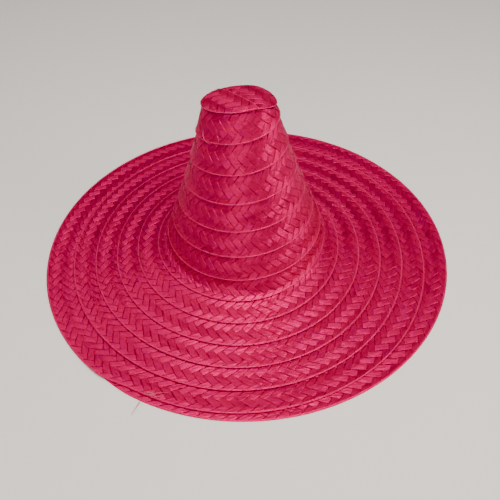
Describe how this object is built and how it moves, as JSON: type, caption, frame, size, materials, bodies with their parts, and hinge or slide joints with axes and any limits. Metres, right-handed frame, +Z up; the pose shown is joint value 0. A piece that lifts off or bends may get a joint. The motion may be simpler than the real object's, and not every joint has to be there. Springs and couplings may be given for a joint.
{
  "type": "palm straw sombrero",
  "caption": "Wide-brimmed sombrero with a tall tapered crown, sewn as a coil of overlapping flat palm plait.",
  "frame": {"origin": "centre of the rim, on the surface that the hat rests on", "axes": "+Z up through the crown, -Y towards the front of the hat, +X to the wearer's left"},
  "size_m": [0.47, 0.47, 0.213],
  "materials": {
    "dyed_palm": "woven palm leaf, dyed crimson pink, low satin sheen"
  },
  "bodies": {
    "root": {"crown_tip": "dyed_palm", "crown_plait": "dyed_palm", "brim_plait": "dyed_palm"}
  },
  "joints": []
}
